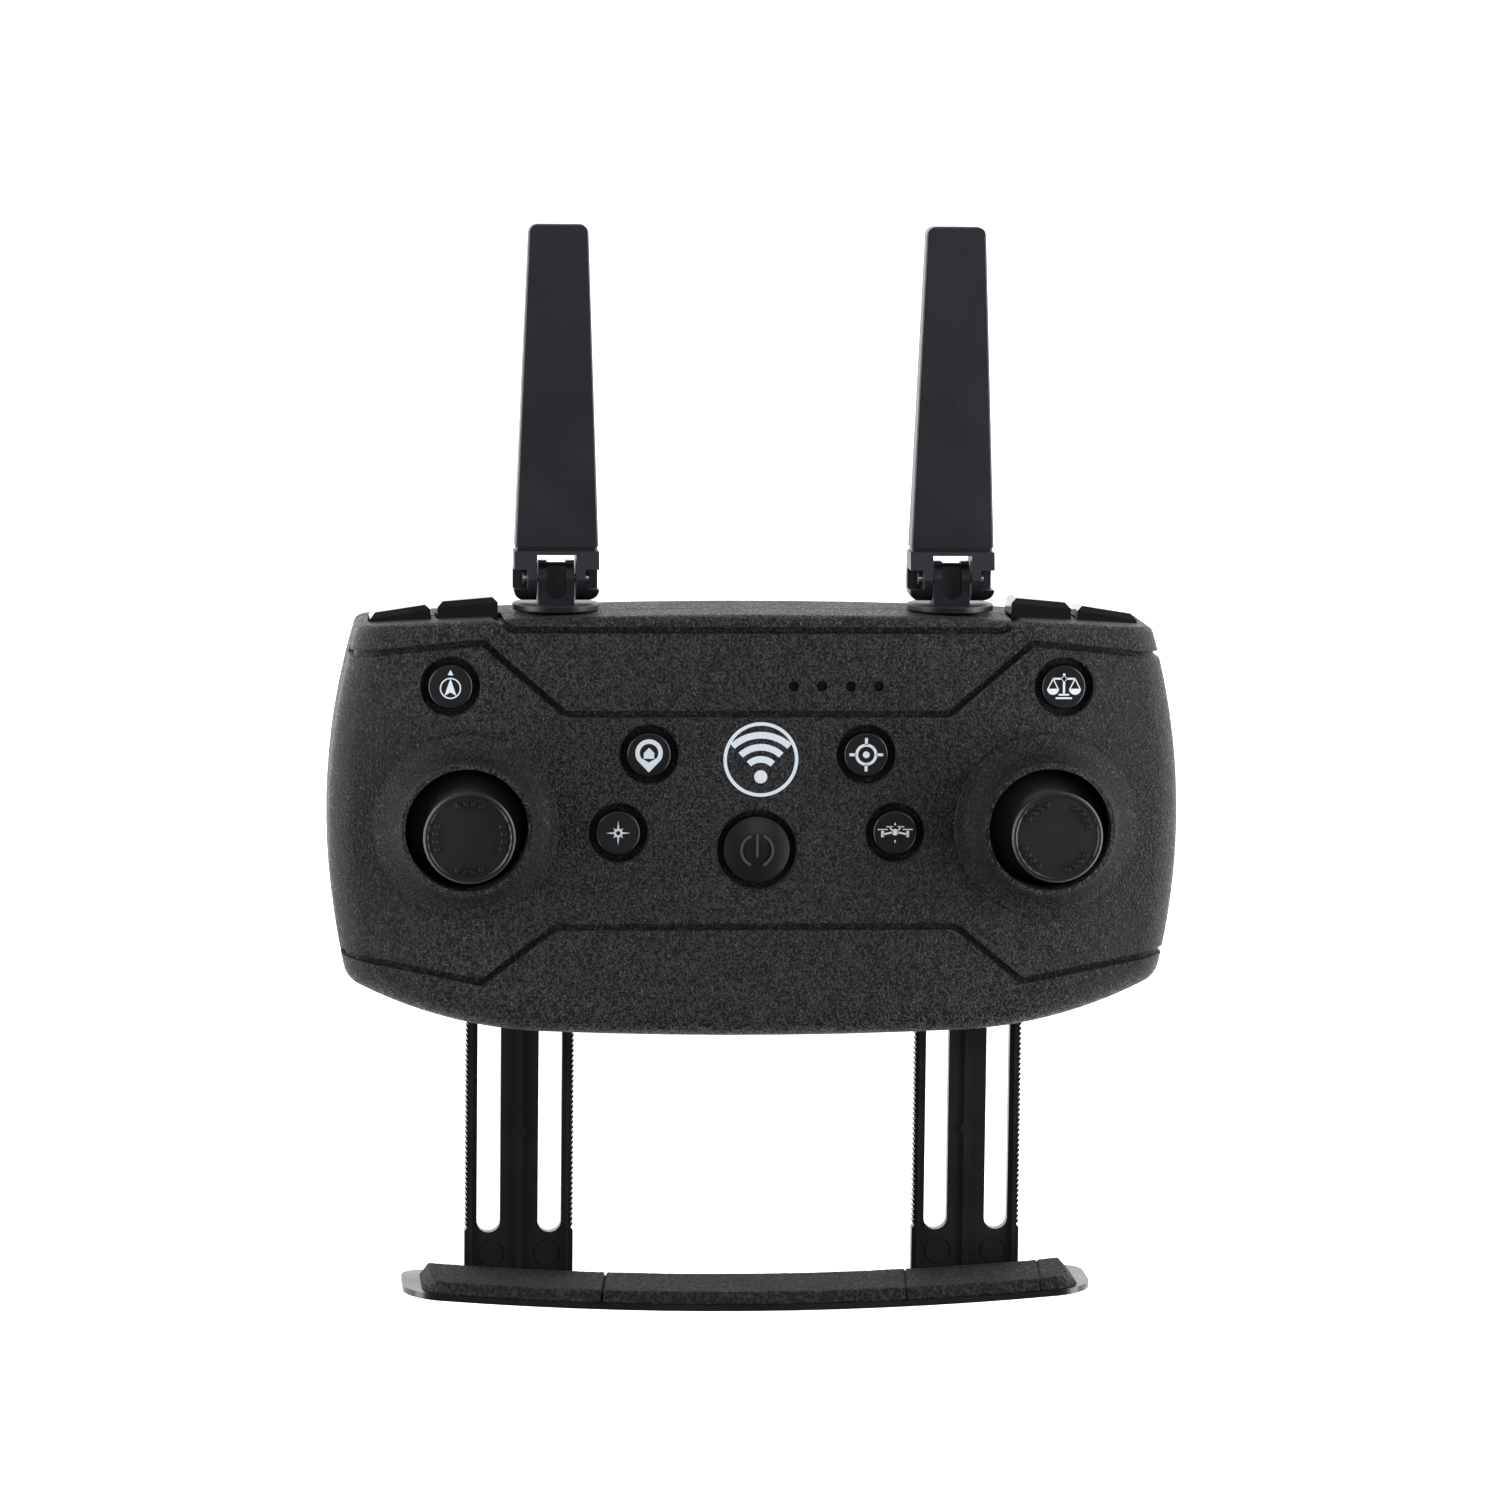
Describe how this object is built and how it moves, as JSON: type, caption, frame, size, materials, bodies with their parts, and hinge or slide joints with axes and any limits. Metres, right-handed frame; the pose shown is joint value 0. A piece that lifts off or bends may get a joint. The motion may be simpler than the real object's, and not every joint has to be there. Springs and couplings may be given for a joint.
{
  "type": "radio transmitter controller",
  "caption": "Two-stick hand-held radio transmitter for a toy drone, with folding blade antennas, face and shoulder buttons and a sliding padded phone clip.",
  "frame": {"origin": "centre of the footprint at the level of the hand grips' lowest points, the transmitter lying on its back", "axes": "+Y towards the antenna tips (longest extent), +Z out of the face with the sticks (shortest extent), +X to the user's right"},
  "size_m": [0.1616, 0.2072, 0.0569],
  "materials": {
    "shell_black": "spark-eroded matte black ABS",
    "gloss_black": "polished black ABS",
    "button_black": "satin black ABS with pale printed legends",
    "cap_rubber": "soft-touch matte black",
    "antenna_black": "satin bluish black ABS",
    "rack_black": "semi-gloss moulded black",
    "foam_black": "open-cell foam strip",
    "inner_plastic": "moulded black acetal",
    "board_green": "solder-masked glass-epoxy board",
    "chip_black": "moulded epoxy package",
    "module_can": "tinned shield can",
    "led_clear": "smoked moulded lens, lamps off",
    "cell_wrap": "plain cell sleeve",
    "contact_steel": "nickel-plated spring steel",
    "screw_steel": "zinc-plated self-tapping screw",
    "pin_steel": "steel pin",
    "pot_metal": "stamped potentiometer case"
  },
  "bodies": {
    "housing": {"front_shell": "shell_black", "back_shell": "shell_black", "shell_screws": "screw_steel", "pcb_screws": "screw_steel", "rack_cover_screws": "screw_steel", "main_pcb": "board_green", "ic_chips": "chip_black", "rf_module": "module_can", "buzzer": "chip_black", "indicator_leds": "led_clear", "tact_switches": "chip_black", "battery_cells": "cell_wrap", "battery_springs": "contact_steel", "battery_plates": "contact_steel", "rack_covers": "inner_plastic", "ratchet_pawls": "inner_plastic", "gimbal_base_left": "inner_plastic", "gimbal_base_right": "inner_plastic", "gimbal_pots_left": "pot_metal", "gimbal_pots_right": "pot_metal"},
    "ring_left": {"gimbal_ring_left": "inner_plastic"},
    "arc_left": {"gimbal_arc_left": "inner_plastic"},
    "stick_left": {"stick_shaft_left": "inner_plastic", "stick_dome_left": "gloss_black", "stick_cap_left": "cap_rubber"},
    "ring_right": {"gimbal_ring_right": "inner_plastic"},
    "arc_right": {"gimbal_arc_right": "inner_plastic"},
    "stick_right": {"stick_shaft_right": "inner_plastic", "stick_dome_right": "gloss_black", "stick_cap_right": "cap_rubber"},
    "button_compass": {"button_compass": "button_black"},
    "button_level": {"button_level": "button_black"},
    "button_home": {"button_home": "button_black"},
    "button_gps": {"button_gps": "button_black"},
    "button_headless": {"button_headless": "button_black"},
    "button_rotor": {"button_rotor": "button_black"},
    "button_power": {"button_power": "button_black"},
    "shoulder_left_outer": {"shoulder_left_outer": "gloss_black"},
    "shoulder_left_inner": {"shoulder_left_inner": "gloss_black"},
    "shoulder_right_inner": {"shoulder_right_inner": "gloss_black"},
    "shoulder_right_outer": {"shoulder_right_outer": "gloss_black"},
    "swivel_left": {"antenna_swivel_left": "antenna_black"},
    "blade_left": {"antenna_blade_left": "antenna_black", "hinge_pin_left": "pin_steel"},
    "swivel_right": {"antenna_swivel_right": "antenna_black"},
    "blade_right": {"antenna_blade_right": "antenna_black", "hinge_pin_right": "pin_steel"},
    "phone_holder": {"phone_rack_left": "rack_black", "phone_rack_right": "rack_black", "clip_bar": "rack_black", "clip_pad": "foam_black", "clip_screws": "screw_steel"},
    "battery_cover": {"battery_door": "shell_black"}
  },
  "joints": [
    {"name": "stick_pitch_left", "type": "hinge", "parent": "housing", "child": "ring_left", "pos_m": [-0.0551, -0.00915, 0.034], "axis": [1, 0, 0], "range_deg": [-18, 18], "stiffness_Nm_per_rad": 0.03},
    {"name": "stick_roll_left", "type": "hinge", "parent": "ring_left", "child": "stick_left", "pos_m": [-0.0551, -0.00915, 0.034], "axis": [0, 1, 0], "range_deg": [-18, 18], "stiffness_Nm_per_rad": 0.03},
    {"name": "arc_roll_left", "type": "hinge", "parent": "housing", "child": "arc_left", "pos_m": [-0.0551, -0.00915, 0.034], "axis": [0, 1, 0], "range_deg": [-18, 18]},
    {"name": "stick_pitch_right", "type": "hinge", "parent": "housing", "child": "ring_right", "pos_m": [0.0551, -0.00915, 0.034], "axis": [1, 0, 0], "range_deg": [-18, 18], "stiffness_Nm_per_rad": 0.03},
    {"name": "stick_roll_right", "type": "hinge", "parent": "ring_right", "child": "stick_right", "pos_m": [0.0551, -0.00915, 0.034], "axis": [0, 1, 0], "range_deg": [-18, 18], "stiffness_Nm_per_rad": 0.03},
    {"name": "arc_roll_right", "type": "hinge", "parent": "housing", "child": "arc_right", "pos_m": [0.0551, -0.00915, 0.034], "axis": [0, 1, 0], "range_deg": [-18, 18]},
    {"name": "press_compass", "type": "slide", "parent": "housing", "child": "button_compass", "axis": [0, 0, -1], "range_m": [0, 0.0006], "stiffness_N_per_m": 400, "springref_m": -0.0008},
    {"name": "press_level", "type": "slide", "parent": "housing", "child": "button_level", "axis": [0, 0, -1], "range_m": [0, 0.0006], "stiffness_N_per_m": 400, "springref_m": -0.0008},
    {"name": "press_home", "type": "slide", "parent": "housing", "child": "button_home", "axis": [0, 0, -1], "range_m": [0, 0.0006], "stiffness_N_per_m": 400, "springref_m": -0.0008},
    {"name": "press_gps", "type": "slide", "parent": "housing", "child": "button_gps", "axis": [0, 0, -1], "range_m": [0, 0.0006], "stiffness_N_per_m": 400, "springref_m": -0.0008},
    {"name": "press_headless", "type": "slide", "parent": "housing", "child": "button_headless", "axis": [0, 0, -1], "range_m": [0, 0.0006], "stiffness_N_per_m": 400, "springref_m": -0.0008},
    {"name": "press_rotor", "type": "slide", "parent": "housing", "child": "button_rotor", "axis": [0, 0, -1], "range_m": [0, 0.0006], "stiffness_N_per_m": 400, "springref_m": -0.0008},
    {"name": "press_power", "type": "slide", "parent": "housing", "child": "button_power", "axis": [0, 0, -1], "range_m": [0, 0.0006], "stiffness_N_per_m": 400, "springref_m": -0.0008},
    {"name": "press_shoulder_left_outer", "type": "slide", "parent": "housing", "child": "shoulder_left_outer", "axis": [0, -1, 0], "range_m": [0, 0.0009], "stiffness_N_per_m": 400, "springref_m": -0.0008},
    {"name": "press_shoulder_left_inner", "type": "slide", "parent": "housing", "child": "shoulder_left_inner", "axis": [0, -1, 0], "range_m": [0, 0.0009], "stiffness_N_per_m": 400, "springref_m": -0.0008},
    {"name": "press_shoulder_right_inner", "type": "slide", "parent": "housing", "child": "shoulder_right_inner", "axis": [0, -1, 0], "range_m": [0, 0.0009], "stiffness_N_per_m": 400, "springref_m": -0.0008},
    {"name": "press_shoulder_right_outer", "type": "slide", "parent": "housing", "child": "shoulder_right_outer", "axis": [0, -1, 0], "range_m": [0, 0.0009], "stiffness_N_per_m": 400, "springref_m": -0.0008},
    {"name": "antenna_turn_left", "type": "hinge", "parent": "housing", "child": "swivel_left", "pos_m": [-0.0377, 0.03035, 0.027], "axis": [0, 1, 0], "range_deg": [-90, 90]},
    {"name": "antenna_fold_left", "type": "hinge", "parent": "swivel_left", "child": "blade_left", "pos_m": [-0.0377, 0.03655, 0.027], "axis": [1, 0, 0], "range_deg": [-90, 90]},
    {"name": "antenna_turn_right", "type": "hinge", "parent": "housing", "child": "swivel_right", "pos_m": [0.0377, 0.03035, 0.027], "axis": [0, 1, 0], "range_deg": [-90, 90]},
    {"name": "antenna_fold_right", "type": "hinge", "parent": "swivel_right", "child": "blade_right", "pos_m": [0.0377, 0.03655, 0.027], "axis": [1, 0, 0], "range_deg": [-90, 90]},
    {"name": "holder_slide", "type": "slide", "parent": "housing", "child": "phone_holder", "axis": [0, 1, 0], "range_m": [-0.02, 0.042]},
    {"name": "cover_slide", "type": "slide", "parent": "housing", "child": "battery_cover", "axis": [0, -1, 0], "range_m": [0, 0.045]}
  ],
  "couplings": [
    {"joint": "arc_roll_left", "follows": "stick_roll_left", "ratio": 1},
    {"joint": "arc_roll_right", "follows": "stick_roll_right", "ratio": 1}
  ]
}
